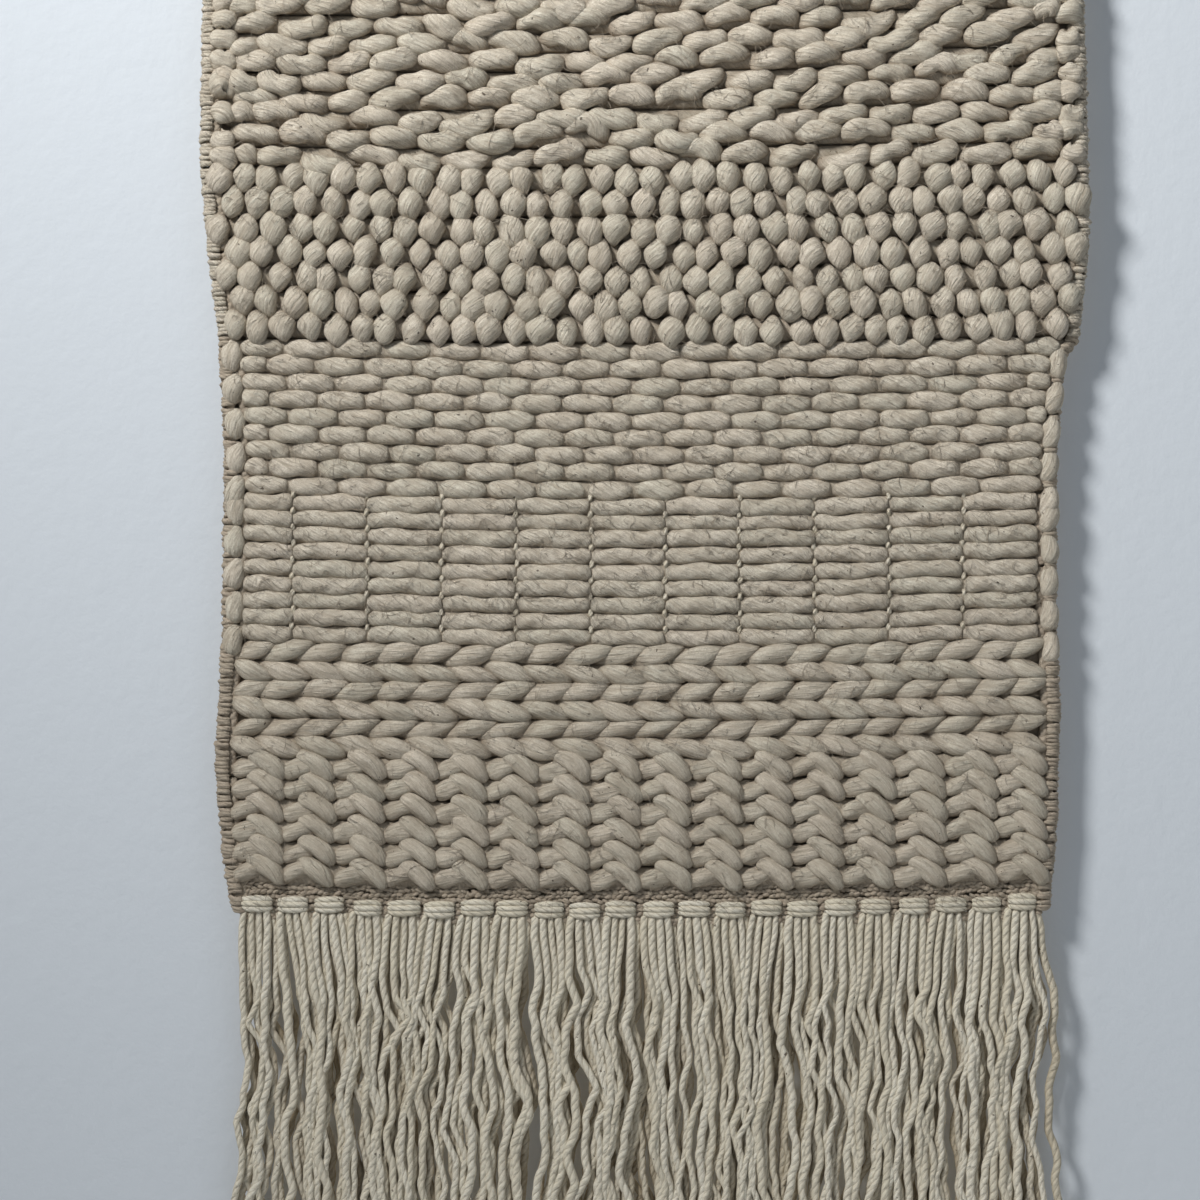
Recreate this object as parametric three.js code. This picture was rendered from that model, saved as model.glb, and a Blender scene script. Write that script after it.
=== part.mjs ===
// A woven wool wall hanging on a wooden rod, in millimetres with +Z up.
// The origin is on the rod's axis, half way along it, and -Y faces the room.
// Five stretches of ground cloth hang in a chain below a rod sleeve. Each carries
// its own textured rows, and the last one carries a header and a fringe of tassels.

import * as THREE from 'three';

// Driving dimensions
const rod = { radius: 11, length: 580, rounding: 2, sides: 24 };
const sleeve = { width: 524, slack: 0.5, wall: 2.6, tail: 28.4, sides: 24 };
const ground = { back: 5, thickness: 3 }; // back is the Y of the face that lies to the wall
const seam = { first: -29, gap: 1.2 }; // where the cloth first folds, and the gap left at a fold
const pile = { gap: 0.3, rowGap: 2.4, firstRow: -34 }; // rows stand this far off the cloth and apart

// Bands from the top down. A pass is one length of roving that goes across and comes back.
const bands = [
  { name: 'loop', rows: 14, pitch: 11.4, rowWidth: 532, clothWidth: 520, depth: 14 },
  { name: 'bobble', rows: 7, pitch: 14.8, rowWidth: 532, clothWidth: 520, depth: 15 },
  { name: 'brick', rows: 9, pitch: 10.3, rowWidth: 496, clothWidth: 502, depth: 10 },
  { name: 'bar', rows: 9, pitch: 9.9, rowWidth: 496, clothWidth: 502, depth: 10 },
];
const twined = { pairs: 3, pitch: 11.5, rowWidth: 482, depth: 11 };
const herringbone = { rows: 6, pitch: 12.8, rowWidth: 482, clothWidth: 504, depth: 12 };
const hem = { strip: 9.4, headerHeight: 8.8, headerWidth: 482, headerDepth: 7 };
const fringe = { tassels: 22, spacing: 21.92, gap: 1.5, length: 244, thickness: 9, neck: 3.2, shoulder: 14 };

const colours = {
  roving: new THREE.Color(0.74, 0.69, 0.61),
  groundYarn: new THREE.Color(0.62, 0.56, 0.49),
  fringeYarn: new THREE.Color(0.8, 0.77, 0.7),
  wood: new THREE.Color(0.63, 0.47, 0.31),
};

const group = new THREE.Group();

function wool(color) {
  return new THREE.MeshStandardMaterial({ color, roughness: 0.95, metalness: 0 });
}

function addPiece(name, geometry, material) {
  const piece = new THREE.Mesh(geometry, material);
  piece.name = name;
  group.add(piece);
  return piece;
}

// An outline drawn in X and Z, raised towards the room from the plane y = back, with eased edges.
function raise(outline, back, depth) {
  const easing = depth / 3;
  const inset = easing * 0.7;
  const geometry = new THREE.ExtrudeGeometry(outline, {
    depth: depth - 2 * easing,
    bevelThickness: easing,
    bevelSize: inset,
    bevelOffset: -inset,
    bevelSegments: 2,
    curveSegments: 4,
  });
  geometry.translate(0, 0, easing);
  geometry.rotateX(Math.PI / 2);
  geometry.translate(0, back, 0);
  return geometry;
}

// A profile drawn in Y and Z, drawn out to a width along X about the middle.
function drawAcross(profile, width, segments) {
  const geometry = new THREE.ExtrudeGeometry(profile, {
    depth: width,
    bevelEnabled: false,
    curveSegments: segments,
  });
  geometry.translate(0, 0, -width / 2);
  geometry.rotateX(Math.PI / 2);
  geometry.rotateZ(Math.PI / 2);
  return geometry;
}

function rowOutline(width, height) {
  const outline = new THREE.Shape();
  outline.moveTo(-width / 2, -height / 2);
  outline.lineTo(width / 2, -height / 2);
  outline.lineTo(width / 2, height / 2);
  outline.lineTo(-width / 2, height / 2);
  outline.closePath();
  return outline;
}

// Two rows joined by a turn at the right edge, with both free ends at the left.
function passOutline(width, height, pitch) {
  const outer = (pitch + height) / 2;
  const inner = (pitch - height) / 2;
  const turn = width / 2 - outer;
  const outline = new THREE.Shape();
  outline.moveTo(-width / 2, outer);
  outline.lineTo(turn, outer);
  outline.absarc(turn, 0, outer, Math.PI / 2, -Math.PI / 2, true);
  outline.lineTo(-width / 2, -outer);
  outline.lineTo(-width / 2, -inner);
  outline.lineTo(turn, -inner);
  outline.absarc(turn, 0, inner, -Math.PI / 2, Math.PI / 2, false);
  outline.lineTo(-width / 2, inner);
  outline.closePath();
  return outline;
}

function rowHeight(band) {
  return band.pitch - pile.rowGap;
}

function addRowPiece(name, outline, band, middle) {
  const back = ground.back - ground.thickness - pile.gap;
  const piece = addPiece(name, raise(outline, back, band.depth), wool(colours.roving));
  piece.position.z = middle;
}

// Rows in one band, two to a pass; a last odd row runs across on its own.
function addPasses(label, band, top) {
  const passes = Math.ceil(band.rows / 2);
  for (let i = 0; i < passes; i += 1) {
    const single = 2 * i + 1 === band.rows;
    const outline = single
      ? rowOutline(band.rowWidth, rowHeight(band))
      : passOutline(band.rowWidth, rowHeight(band), band.pitch);
    const middle = top - band.pitch * (single ? 2 * i + 0.5 : 2 * i + 1);
    addRowPiece(`${label}_${i + 1}`, outline, band, middle);
  }
  return top - band.rows * band.pitch;
}

function addHerringboneRows(top) {
  const { rows, pitch, rowWidth } = herringbone;
  for (let i = 0; i < rows; i += 1) {
    const outline = rowOutline(rowWidth, rowHeight(herringbone));
    addRowPiece(`herringbone_row_${i + 1}`, outline, herringbone, top - pitch * (i + 0.5));
  }
  return top - rows * pitch;
}

function addGround(name, width, top, bottom) {
  const height = top - bottom - seam.gap;
  const geometry = new THREE.BoxGeometry(width, ground.thickness, height);
  const piece = addPiece(`${name}_ground`, geometry, wool(colours.groundYarn));
  piece.position.set(0, ground.back - ground.thickness / 2, (top + bottom) / 2);
}

function addRod() {
  const half = rod.length / 2;
  const profile = [
    new THREE.Vector2(0, -half),
    new THREE.Vector2(rod.radius - rod.rounding, -half),
    new THREE.Vector2(rod.radius, -half + rod.rounding),
    new THREE.Vector2(rod.radius, half - rod.rounding),
    new THREE.Vector2(rod.radius - rod.rounding, half),
    new THREE.Vector2(0, half),
  ];
  const geometry = new THREE.LatheGeometry(profile, rod.sides);
  geometry.rotateZ(Math.PI / 2);
  const wood = new THREE.MeshStandardMaterial({ color: colours.wood, roughness: 0.6, metalness: 0 });
  addPiece('hanging_rod', geometry, wood);
}

// A band of cloth round the rod, closed below it into a tail that the panel hangs from.
function addSleeve() {
  const inner = rod.radius + sleeve.slack;
  const outer = inner + sleeve.wall;
  const front = ground.back - ground.thickness;
  const startAngle = -Math.acos(ground.back / outer);
  const endAngle = -Math.acos(front / outer);
  const profile = new THREE.Shape();
  profile.moveTo(ground.back, -sleeve.tail);
  profile.lineTo(ground.back, outer * Math.sin(startAngle));
  profile.absarc(0, 0, outer, startAngle, endAngle + 2 * Math.PI, false);
  profile.lineTo(front, -sleeve.tail);
  profile.closePath();
  const channel = new THREE.Path();
  channel.absarc(0, 0, inner, 0, 2 * Math.PI, true);
  profile.holes.push(channel);
  addPiece('rod_sleeve', drawAcross(profile, sleeve.width, sleeve.sides), wool(colours.groundYarn));
}

function addHeader(top) {
  const back = ground.back - ground.thickness - pile.gap;
  const outline = rowOutline(hem.headerWidth, hem.headerHeight);
  const geometry = raise(outline, back, hem.headerDepth);
  const piece = addPiece('fringe_header', geometry, wool(colours.fringeYarn));
  piece.position.z = top - hem.headerHeight / 2;
  return top - hem.headerHeight;
}

// Tassels are thin at the neck, so that one can swing out below the header.
function addTassels(top) {
  const front = ground.back - fringe.thickness;
  const profile = new THREE.Shape();
  profile.moveTo(ground.back, -fringe.length);
  profile.lineTo(ground.back, 0);
  profile.lineTo(ground.back - fringe.neck, 0);
  profile.lineTo(front, -fringe.shoulder);
  profile.lineTo(front, -fringe.length);
  profile.closePath();
  for (let i = 0; i < fringe.tassels; i += 1) {
    const name = `tassel_${String(i + 1).padStart(2, '0')}`;
    const geometry = drawAcross(profile, fringe.spacing - fringe.gap, 1);
    const piece = addPiece(name, geometry, wool(colours.fringeYarn));
    piece.position.set(fringe.spacing * (i - (fringe.tassels - 1) / 2), 0, top);
  }
}

function addPanel() {
  let fold = seam.first;
  let top = pile.firstRow;
  for (const band of bands) {
    const bottom = addPasses(`${band.name}_pass`, band, top);
    addGround(band.name, band.clothWidth, fold, bottom);
    fold = bottom;
    top = bottom;
  }
  top = addPasses('twined_pair', { ...twined, rows: 2 * twined.pairs }, top);
  top = addHerringboneRows(top);
  const bottom = addHeader(top - hem.strip);
  addGround('herringbone', herringbone.clothWidth, fold, bottom);
  addTassels(bottom - pile.gap);
}

addRod();
addSleeve();
addPanel();

export default group;
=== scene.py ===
import math

import bmesh
import bpy
import numpy as np
from mathutils import Matrix, Vector


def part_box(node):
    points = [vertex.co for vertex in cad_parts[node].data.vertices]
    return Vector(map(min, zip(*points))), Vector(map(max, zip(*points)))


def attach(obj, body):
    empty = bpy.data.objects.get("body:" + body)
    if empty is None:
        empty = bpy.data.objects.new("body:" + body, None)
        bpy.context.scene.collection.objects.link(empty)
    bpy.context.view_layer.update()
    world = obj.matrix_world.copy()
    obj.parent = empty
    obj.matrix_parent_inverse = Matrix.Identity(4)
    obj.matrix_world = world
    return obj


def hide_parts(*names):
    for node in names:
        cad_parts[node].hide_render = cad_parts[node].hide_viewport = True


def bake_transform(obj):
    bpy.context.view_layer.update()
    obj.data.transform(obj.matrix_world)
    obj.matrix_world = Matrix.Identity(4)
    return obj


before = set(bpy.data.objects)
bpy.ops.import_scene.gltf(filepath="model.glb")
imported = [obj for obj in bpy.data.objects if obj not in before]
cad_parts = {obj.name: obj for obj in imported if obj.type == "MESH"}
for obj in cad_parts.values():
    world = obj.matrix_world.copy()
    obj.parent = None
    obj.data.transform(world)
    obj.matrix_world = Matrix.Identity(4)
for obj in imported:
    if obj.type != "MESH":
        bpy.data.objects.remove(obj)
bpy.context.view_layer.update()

mm = 0.001  # m in a mm
cm = 10  # mm in a cm
random = np.random.default_rng(11)  # every random draw comes from here, so each run is the same
between, scatter = random.uniform, random.normal
up = {"y": np.array([0.0, 1.0, 0.0]), "z": np.array([0.0, 0.0, 1.0])}


# camera, light and backdrop

view = {
    "width": 720,  # how much of the hanging the frame takes in, in mm
    "centre": (-24, -455),  # x and z that the camera looks straight at
    "lens": 85,
    "pileFront": -8,  # y of the plane that the width is measured in
}
stageLook = {
    "wallY": 17,
    "floorZ": -1180,
    "reach": 6,  # half the width of the wall and of the floor, in m
    "wallColour": (0.69, 0.74, 0.80, 1),
    "floorColour": (0.74, 0.74, 0.73, 1),
}


def addObject(name, data):
    thing = bpy.data.objects.new(name, data)
    bpy.context.scene.collection.objects.link(thing)
    return thing


def smooth(mesh):
    mesh.polygons.foreach_set("use_smooth", np.ones(len(mesh.polygons), bool))


def startPiece(name, bm, material):
    mesh = bpy.data.meshes.new(name)
    bm.to_mesh(mesh)
    bm.free()
    mesh.materials.append(material)
    smooth(mesh)
    return addObject(name, mesh)


def makeCamera():
    data = bpy.data.cameras.new("camera")
    data.lens = view["lens"]
    data.sensor_width = 36
    data.clip_end = 50
    camera = addObject("camera", data)
    distance = view["width"] * view["lens"] / data.sensor_width
    x, z = view["centre"]
    camera.location = Vector((x, view["pileFront"] - distance, z)) * mm
    camera.rotation_euler = (math.radians(90), 0, 0)
    bpy.context.scene.camera = camera


lights = {  # places in m, sizes across in m, powers in W, spreads in degrees
    "keyLight": {"place": (-1.2, -1.35, 0.95), "target": (0.12, 0, 0.05), "size": 0.5, "power": 12,
                 "colour": (1.0, 0.985, 0.955), "spread": 85},
    "fillLight": {"place": (1.4, -2.2, -0.2), "target": (0, 0, -0.45), "size": 2.0, "power": 2.5,
                  "colour": (0.95, 0.97, 1.0), "spread": 180},
    "backLight": {"place": (1.2, 2.2, 0.6), "target": (0, 0, -0.45), "size": 1.6, "power": 34,
                  "colour": (1.0, 0.99, 0.97), "spread": 180},
}
skyLight = {"colour": (0.86, 0.93, 1.0, 1), "strength": 0.24}


def makeLight(name, look):
    data = bpy.data.lights.new(name, "AREA")
    data.shape = "DISK"
    data.size = look["size"]
    data.energy = look["power"]
    data.color = look["colour"]
    data.spread = math.radians(look["spread"])
    light = addObject(name, data)
    place = Vector(look["place"])
    light.location = place
    light.rotation_euler = (Vector(look["target"]) - place).to_track_quat("-Z", "Y").to_euler()


def makeSky():
    world = bpy.data.worlds.new("studio")
    bpy.context.scene.world = world
    world.use_nodes = True
    background = world.node_tree.nodes["Background"]
    background.inputs["Color"].default_value = skyLight["colour"]
    background.inputs["Strength"].default_value = skyLight["strength"]


def link(tree, source, target):
    tree.links.new(source, target)


def startMaterial(name, colour, roughness):
    material = bpy.data.materials.new(name)
    material.use_nodes = True
    material.diffuse_color = colour
    shader = material.node_tree.nodes["Principled BSDF"]
    shader.inputs["Base Color"].default_value = colour
    shader.inputs["Roughness"].default_value = roughness
    return material, material.node_tree, shader


def addBump(tree, shader, height, strength, distance, below=None):
    bump = tree.nodes.new("ShaderNodeBump")
    bump.inputs["Strength"].default_value = strength
    bump.inputs["Distance"].default_value = distance
    link(tree, height, bump.inputs["Height"])
    if below is not None:
        link(tree, below.outputs["Normal"], bump.inputs["Normal"])
    link(tree, bump.outputs["Normal"], shader.inputs["Normal"])
    return bump


def addNoise(tree, coordinate, scale, detail=4.0, roughness=0.6, distortion=0.0, stretch=(1, 1, 1)):
    mapping = tree.nodes.new("ShaderNodeMapping")
    mapping.inputs["Scale"].default_value = stretch
    link(tree, coordinate, mapping.inputs["Vector"])
    noise = tree.nodes.new("ShaderNodeTexNoise")
    noise.inputs["Scale"].default_value = scale
    noise.inputs["Detail"].default_value = detail
    noise.inputs["Roughness"].default_value = roughness
    noise.inputs["Distortion"].default_value = distortion
    link(tree, mapping.outputs["Vector"], noise.inputs["Vector"])
    return noise.outputs["Fac"]


def addRange(tree, value, low, high, toLow=0.0, toHigh=1.0):
    stretch = tree.nodes.new("ShaderNodeMapRange")
    for key, number in (("From Min", low), ("From Max", high), ("To Min", toLow), ("To Max", toHigh)):
        stretch.inputs[key].default_value = number
    link(tree, value, stretch.inputs["Value"])
    return stretch.outputs["Result"]


def addMix(tree, factor, first, second, blend="MIX"):
    mix = tree.nodes.new("ShaderNodeMix")
    mix.data_type = "RGBA"
    mix.blend_type = blend
    for socket, value in ((mix.inputs[0], factor), (mix.inputs[6], first), (mix.inputs[7], second)):
        if isinstance(value, bpy.types.NodeSocket):
            link(tree, value, socket)
        else:
            socket.default_value = value
    return mix.outputs[2]


def wallMaterial():
    # paint that is seen from the room only
    material, tree, shader = startMaterial("paintedWall", stageLook["wallColour"], 0.9)
    place = tree.nodes.new("ShaderNodeTexCoord").outputs["Object"]
    addBump(tree, shader, addNoise(tree, place, 90, detail=6), 0.25, 0.002)
    clear = tree.nodes.new("ShaderNodeBsdfTransparent")
    side = tree.nodes.new("ShaderNodeNewGeometry")
    choose = tree.nodes.new("ShaderNodeMixShader")
    link(tree, side.outputs["Backfacing"], choose.inputs["Fac"])
    link(tree, shader.outputs["BSDF"], choose.inputs[1])
    link(tree, clear.outputs["BSDF"], choose.inputs[2])
    link(tree, choose.outputs["Shader"], tree.nodes["Material Output"].inputs["Surface"])
    return material


def makePlane(name, material, turn, place):
    bm = bmesh.new()
    matrix = Matrix.Translation(Vector(place) * mm) @ turn
    bmesh.ops.create_grid(bm, x_segments=1, y_segments=1, size=stageLook["reach"], matrix=matrix)
    for vert in bm.verts:
        vert.co.z = max(vert.co.z, stageLook["floorZ"] * mm)  # the wall ends at the floor
    plane = startPiece(name, bm, material)
    return plane


def makeStage():
    facing = Matrix.Rotation(math.radians(90), 4, "X")  # the wall's face looks along -Y, into the room
    wall = makePlane("wall", wallMaterial(), facing, (0, stageLook["wallY"], 0))
    wall.visible_shadow = False  # lights behind it still reach the back of the hanging
    wall.visible_diffuse = False
    wall.visible_glossy = False
    floor = startMaterial("paleFloor", stageLook["floorColour"], 0.8)[0]
    makePlane("floor", floor, Matrix.Identity(4), (0, 0, stageLook["floorZ"]))


makeCamera()
for name, look in lights.items():
    makeLight(name, look)
makeSky()
makeStage()
bpy.context.scene.view_settings.view_transform = "Standard"
print("stage ready")


# wool and wood finishes

seedColour = (0.09, 0.065, 0.045, 1)  # specks of seed and straw caught in the wool
woolLooks = {  # along and across are how many fibres lie in a cm. The fourth colour is the painted shade in recesses and between plies, and the last number how much painted shade darkens the low bands
    "roving": {
        "light": (0.93, 0.845, 0.72, 1), "dark": (0.50, 0.425, 0.33, 1),
        "tint": (0.83, 0.785, 0.66, 1), "shadeColour": (0.29, 0.215, 0.145, 1),
        "lowerShade": 0.28, "along": 1.1, "across": 8.5, "relief": 0.95, "plies": 0,
    },
    "fringeYarn": {
        "light": (0.99, 0.95, 0.83, 1), "dark": (0.71, 0.64, 0.51, 1),
        "tint": (0.86, 0.80, 0.65, 1), "shadeColour": (0.30, 0.225, 0.13, 1),
        "lowerShade": 0.0, "along": 3.0, "across": 16.0, "relief": 0.5, "plies": 3,
    },
    "groundYarn": {
        "light": (0.60, 0.51, 0.41, 1), "dark": (0.43, 0.355, 0.275, 1),
        "tint": (0.54, 0.48, 0.385, 1), "shadeColour": (0.25, 0.195, 0.135, 1),
        "lowerShade": 0.0, "along": 4.0, "across": 30.0, "relief": 0.5, "plies": 2,
    },
}


def attribute(tree, name):
    node = tree.nodes.new("ShaderNodeAttribute")
    node.attribute_name = name
    return node.outputs["Fac"]


def uvMap(tree, name):
    node = tree.nodes.new("ShaderNodeUVMap")
    node.uv_map = name
    return node.outputs["UV"]


def split(tree, vector):
    node = tree.nodes.new("ShaderNodeSeparateXYZ")
    link(tree, vector, node.inputs["Vector"])
    return node.outputs


def addMath(tree, operation, value, number=0.0):
    node = tree.nodes.new("ShaderNodeMath")
    node.operation = operation
    link(tree, value, node.inputs[0])
    node.inputs[1].default_value = number
    return node.outputs["Value"]


def addPlies(tree, plies):
    # the round backs of the plies, with a groove wherever two of them meet, used for their bumps and for
    # painted shade in those grooves
    angle = addMath(tree, "MULTIPLY", split(tree, uvMap(tree, "twist"))["Y"], math.pi * plies)
    return addMath(tree, "ABSOLUTE", addMath(tree, "SINE", angle))


def woolMaterial(name, look):
    material, tree, shader = startMaterial(name, look["light"], 0.95)
    shader.inputs["Sheen Weight"].default_value = 0.07
    shader.inputs["Sheen Roughness"].default_value = 0.5
    shader.inputs["Sheen Tint"].default_value = (0.95, 0.92, 0.85, 1)
    shader.inputs["Specular IOR Level"].default_value = 0.15
    yarn = uvMap(tree, "yarn")
    place = tree.nodes.new("ShaderNodeTexCoord").outputs["Object"]
    along, across = look["along"], look["across"]
    fibres = addNoise(tree, yarn, 1, 6, 0.7, 0.3, (along, across, 1))
    locks = addNoise(tree, yarn, 1, 3, 0.5, 0.6, (along * 0.6, across * 0.4, 1))
    felt = addNoise(tree, place, 900, 4, 0.7, 0.5)
    mottle = addNoise(tree, place, 60, 4, 0.6)
    specks = addNoise(tree, place, 300, 2, 0.5)
    height = split(tree, place)["Z"]
    colour = addMix(tree, attribute(tree, "tone"), look["light"], look["tint"])
    shades = (  # a value, the stretch of it that counts, and how dark the wool is at either end of that
        (fibres, 0.36, 0.54, 0.85, 0.0),
        (locks, 0.34, 0.5, 0.5, 0.0),
        (felt, 0.35, 0.55, 0.6, 0.0),
        (mottle, 0.4, 0.7, 0.0, 0.4),
        # painted shade: the lower bands of the hanging are painted darker
        (height, -0.44, -0.56, 0.0, look["lowerShade"]),
    )
    for value, low, high, toLow, toHigh in shades:
        colour = addMix(tree, addRange(tree, value, low, high, toLow, toHigh), colour, look["dark"])
    # painted shade: the deeper the wool lies in the cloth, the more it is painted towards the shade colour
    colour = addMix(tree, addRange(tree, attribute(tree, "paintedShade"), 0.1, 1), colour, look["shadeColour"])
    colour = addMix(tree, addRange(tree, specks, 0.735, 0.75, 0.0, 0.85), colour, seedColour)
    relief = addBump(tree, shader, locks, look["relief"], 0.0026)
    relief = addBump(tree, shader, felt, look["relief"], 0.0009, relief)
    relief = addBump(tree, shader, fibres, look["relief"], 0.0011, relief)
    if look["plies"]:
        plies = addPlies(tree, look["plies"])
        # painted shade in the grooves between plies
        colour = addMix(tree, addRange(tree, plies, 0.0, 0.4, 0.42, 0.0), colour, look["shadeColour"])
        addBump(tree, shader, plies, 0.6, 0.0010, relief)
    link(tree, colour, shader.inputs["Base Color"])
    return material


def woodMaterial():
    material, tree, shader = startMaterial("rodWood", (0.36, 0.22, 0.12, 1), 0.5)
    place = tree.nodes.new("ShaderNodeTexCoord").outputs["Object"]
    grain = addNoise(tree, place, 1, 6, 0.6, 0.5, (5, 130, 130))
    rings = addNoise(tree, place, 1, 2, 0.5, 1.2, (2, 45, 45))
    colour = addMix(tree, addRange(tree, grain, 0.35, 0.65), (0.30, 0.175, 0.09, 1), (0.47, 0.31, 0.18, 1))
    colour = addMix(tree, addRange(tree, rings, 0.45, 0.62, 0, 0.5), colour, (0.24, 0.135, 0.07, 1))
    link(tree, colour, shader.inputs["Base Color"])
    link(tree, addRange(tree, grain, 0.3, 0.7, 0.45, 0.62), shader.inputs["Roughness"])
    addBump(tree, shader, grain, 0.3, 0.0006)
    return material


finishes = {name: woolMaterial(name, look) for name, look in woolLooks.items()}
finishes["rodWood"] = woodMaterial()


# rolls of yarn, laid along paths

def makeRoll(around, along):
    # a closed ball of rings, pole to pole, that every stitch is drawn out of
    bm = bmesh.new()
    bm.loops.layers.uv.new("yarn")
    bm.loops.layers.uv.new("twist")
    bmesh.ops.create_uvsphere(bm, u_segments=around, v_segments=along, radius=1, calc_uvs=True)
    mesh = bpy.data.meshes.new("roll")
    bm.to_mesh(mesh)
    bm.free()
    co = readLayer(mesh.vertices, "co", 3)
    ring = np.rint(np.arccos(np.clip(co[:, 2], -1, 1)) / math.pi * along).astype(int)
    return {"mesh": mesh, "along": along, "ring": ring, "angle": np.arctan2(co[:, 1], co[:, 0]),
            "uv": readLayer(mesh.uv_layers["yarn"].data, "uv", 2)}


def steps(along, ends=0.5):
    # how far along its length each ring lies, with the rings closer together near the ends
    t = np.linspace(0, 1, along + 1)
    return t - ends * np.sin(2 * math.pi * t) / (2 * math.pi)


def roundEnds(t, power):
    # a roll's thickness along its length, full in the middle and nothing at the poles
    return np.maximum(1 - np.abs(2 * t - 1) ** power, 0) ** (1 / power)


def unit(vectors):
    return vectors / np.maximum(np.linalg.norm(vectors, axis=-1, keepdims=True), 1e-9)


def readLayer(data, name, width):
    values = np.zeros(len(data) * width)
    data.foreach_get(name, values)
    return values.reshape(-1, width)


def setAttribute(mesh, name, values):
    layer = mesh.attributes.get(name) or mesh.attributes.new(name, "FLOAT", "POINT")
    layer.data.foreach_set("value", np.ascontiguousarray(values, dtype=np.float32).ravel())


def setUv(mesh, name, u, v):
    both = np.stack(np.broadcast_arrays(u, v), axis=-1)
    mesh.uv_layers[name].data.foreach_set("uv", np.ascontiguousarray(both, dtype=np.float32).ravel())


def rollShape(roll, paths, thick, wide, side, lumps, creases, turns):
    # where the points of each roll lie, in mm, with its lumps and the creases that wind round it
    tangent = unit(np.gradient(paths, axis=1))
    across = unit(np.cross(np.broadcast_to(up[side], tangent.shape), tangent))
    out = np.cross(tangent, across)
    ring, angle = roll["ring"], roll["angle"][None, :]
    t = (ring / roll["along"])[None, :]
    phase = between(0, 2 * math.pi, (4, len(paths), 1))
    swell = 1 + lumps * (np.sin(angle + phase[0] + 5 * t) + 0.7 * np.sin(2 * angle + phase[1] - 7 * t))
    swell = swell + lumps * 0.8 * np.sin(phase[2] + 11 * t)
    turn = angle - 2 * math.pi * turns * t + phase[3]
    swell = swell * (1 - creases * (0.5 + 0.5 * np.cos(3 * turn)) ** 3)
    co = paths[:, ring] + out[:, ring] * (thick * swell * np.cos(angle))[..., None]
    return co + across[:, ring] * (wide * swell * np.sin(angle))[..., None]


def layRolls(name, roll, paths, thick, wide, finish, side="y", lumps=0.06, creases=0.0, turns=0.0, slant=0.0,
             paintedShade=(20, 21), flatBack=2.2):
    # one roll along each path (mm). thick is its half size towards side and wide its half size across,
    # the y pair after slant says where painted shade starts and where it is darkest, flatBack the y it can't
    # go behind
    count, rings = paths.shape[0], roll["along"] + 1
    thick = np.broadcast_to(thick, (count, rings))[:, roll["ring"]]
    wide = np.broadcast_to(wide, (count, rings))[:, roll["ring"]]
    co = rollShape(roll, paths, thick, wide, side, lumps, creases, turns)
    co[..., 1] = np.minimum(co[..., 1], flatBack)
    bm = bmesh.new()
    for _ in range(count):
        bm.from_mesh(roll["mesh"])
    piece = startPiece(name, bm, finishes[finish])
    mesh = piece.data
    mesh.vertices.foreach_set("co", (co * mm).ravel())
    length = np.linalg.norm(np.diff(paths, axis=1), axis=2).sum(1)[:, None] / cm
    girth = (math.pi * (thick + wide).max(1) / cm)[:, None]
    shift = between(0, 60, (2, count, 1))  # no two rolls show the same stretch of fibres
    u = roll["uv"][None, :, 1] * length
    v = roll["uv"][None, :, 0] * girth - slant * u
    setUv(mesh, "yarn", u + shift[0], v + shift[1])
    setUv(mesh, "twist", u, roll["uv"][None, :, 0] - roll["uv"][None, :, 1] * turns + shift[0])
    setAttribute(mesh, "tone", np.broadcast_to(between(0, 1, (count, 1)), co.shape[:2]))
    # painted shade by depth: points further back get more of it
    front, deep = paintedShade
    setAttribute(mesh, "paintedShade", np.clip((co[..., 1] - front) / (deep - front), 0, 1))
    mesh.update()
    return piece


def layStitches(name, roll, paths, size, look):
    # rolls of roving, each sized as a share of what look says is full
    return layRolls(name, roll, paths, size * look["thick"], size * look["high"], "roving", **look["yarn"])


# the cloth's bands and folds

bands = ["loop", "bobble", "brick", "bar", "herringbone"]
foldReach = 12  # how far above and below a fold a piece counts as near it
laidOn = {}  # the pieces laid on each body


def nodeBox(node):
    low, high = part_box(node)
    return low / mm, high / mm


def nodesOf(prefix):
    return sorted(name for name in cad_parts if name.startswith(prefix))


def bendAbove(piece):
    # a piece that crosses the fold between a band and whatever is above it
    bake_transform(piece)


def settle(piece, body, slot, *nodes):
    # a piece near a fold has its place baked in and rides no body, and any other rides its own body
    heights = [vert.co.z / mm for vert in piece.data.vertices]
    folds = {band: nodeBox(band + "_ground")[1].z for band in bands[1:]}
    near = [band for band, fold in folds.items()
            if min(heights) < fold + foldReach and max(heights) > fold - foldReach]
    if near:
        bendAbove(piece)
    else:
        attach(piece, body)
    if nodes:
        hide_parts(*nodes)
    laidOn.setdefault(body, []).append(piece)


# outline of the woven panel, shared by everything laid on it

halfWidth = 250  # about half the panel's width, which what changes from side to side is scaled by
outline = {
    "left": ((-24, -194, -264, -295, -366, -470, -546, -559, -611, -645),
             (-262, -264.6, -258, -253.5, -250.2, -251.4, -255.5, -255.5, -250.8, -245)),
    "right": ((-24, -149, -238, -264, -299, -310, -366, -461, -520, -604, -645),
              (264, 268.8, 270.6, 268, 264, 256.5, 250.8, 250.8, 253.2, 250.8, 246)),
}
droop = {  # how much lower than its ends a row hangs in the middle, and how much its right end is raised
    "height": (-30, -194, -298, -340, -479, -545, -645),
    "middle": (0, 1.0, 3.4, 4.2, 3.8, 2.2, 4.6),
    "right": (5, 3, 0.5, 0, 0.5, 2.5, 0.5),
}


def edge(side, z):
    heights, places = outline[side]
    return np.interp(-np.asarray(z, float), -np.array(heights), places)


def span(z, inset):
    # the two ends of a row at z, so far in from the panel's left and right edges
    return edge("left", z) + inset[0], edge("right", z) - inset[1]


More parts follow.
